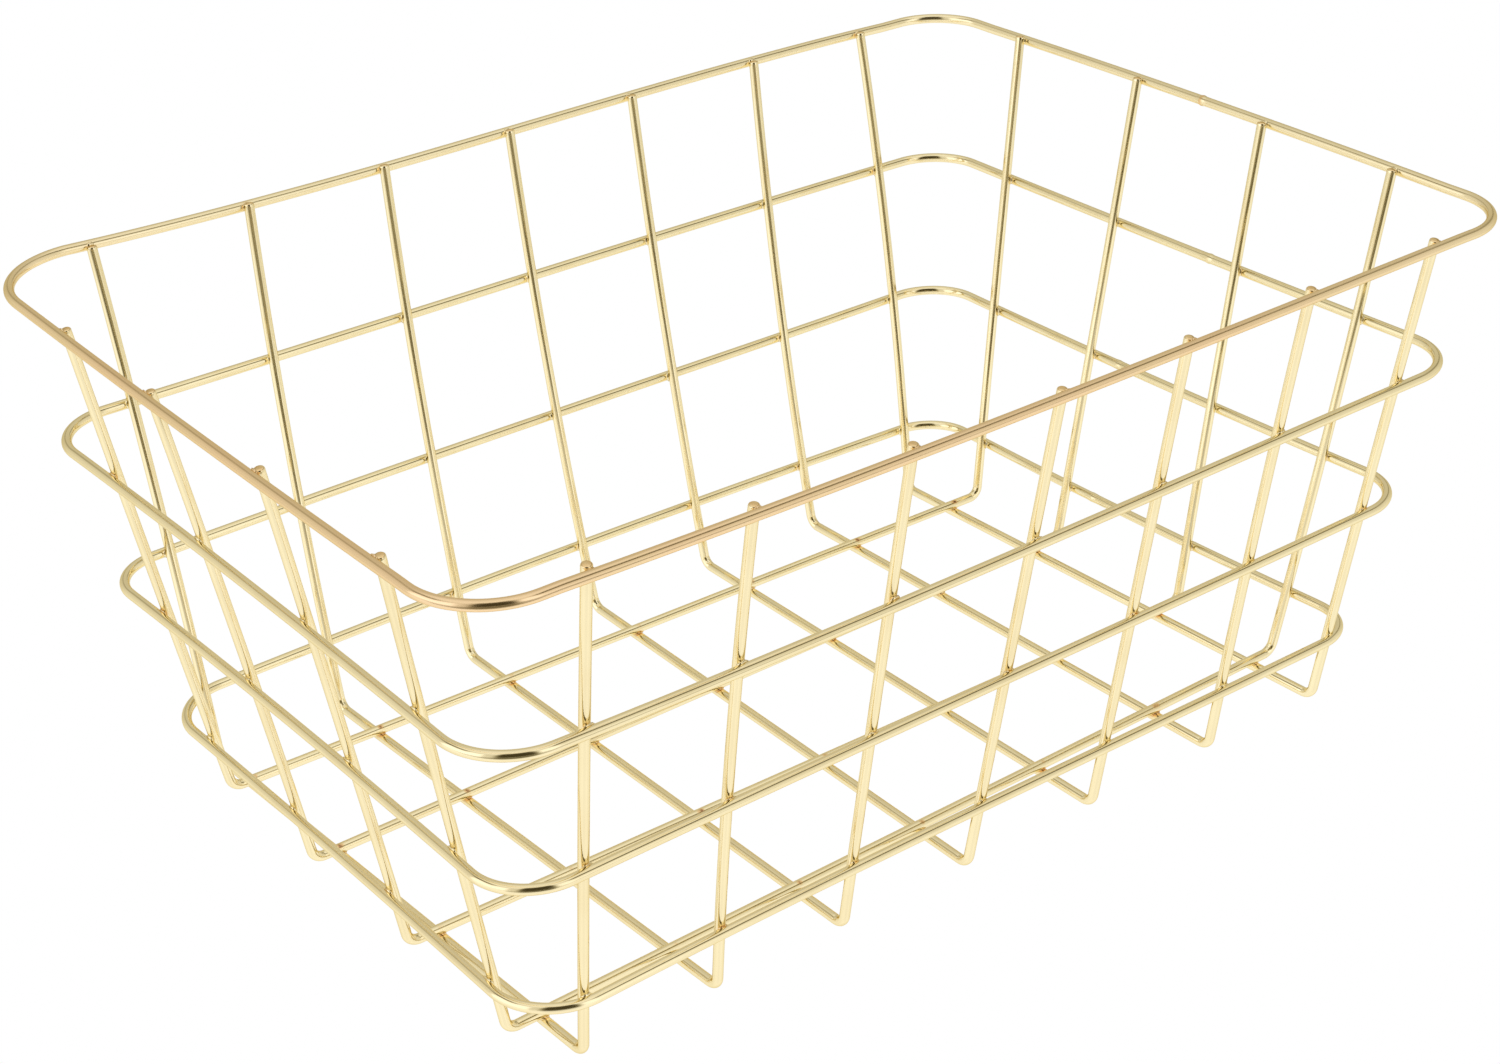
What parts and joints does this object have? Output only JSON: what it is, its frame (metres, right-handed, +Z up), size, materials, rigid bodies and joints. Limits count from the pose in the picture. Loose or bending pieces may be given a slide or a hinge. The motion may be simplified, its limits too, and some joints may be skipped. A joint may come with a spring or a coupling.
{
  "type": "wire locker basket",
  "caption": "Open-topped rectangular storage basket of round wire with leaning sides, spot-welded at every crossing, that stands on its floor wires.",
  "frame": {"origin": "middle of the footprint, on the surface that the floor wires stand on", "axes": "+X along the length, to the right in the picture, +Y across to the back, +Z up"},
  "size_m": [0.357, 0.2524, 0.1608],
  "materials": {
    "wire_plating": "pale champagne-gold plating on steel wire, satin gloss",
    "rim_plating": "slightly warmer gold plating on steel wire, satin gloss"
  },
  "bodies": {
    "root": {"cross_wire_1": "wire_plating", "cross_wire_2": "wire_plating", "cross_wire_3": "wire_plating", "cross_wire_4": "wire_plating", "cross_wire_5": "wire_plating", "cross_wire_6": "wire_plating", "cross_wire_7": "wire_plating", "long_wire_1": "wire_plating", "long_wire_2": "wire_plating", "long_wire_3": "wire_plating", "long_wire_4": "wire_plating", "lower_ring": "wire_plating", "middle_ring": "wire_plating", "upper_ring": "wire_plating", "rim_ring": "rim_plating"}
  },
  "joints": []
}
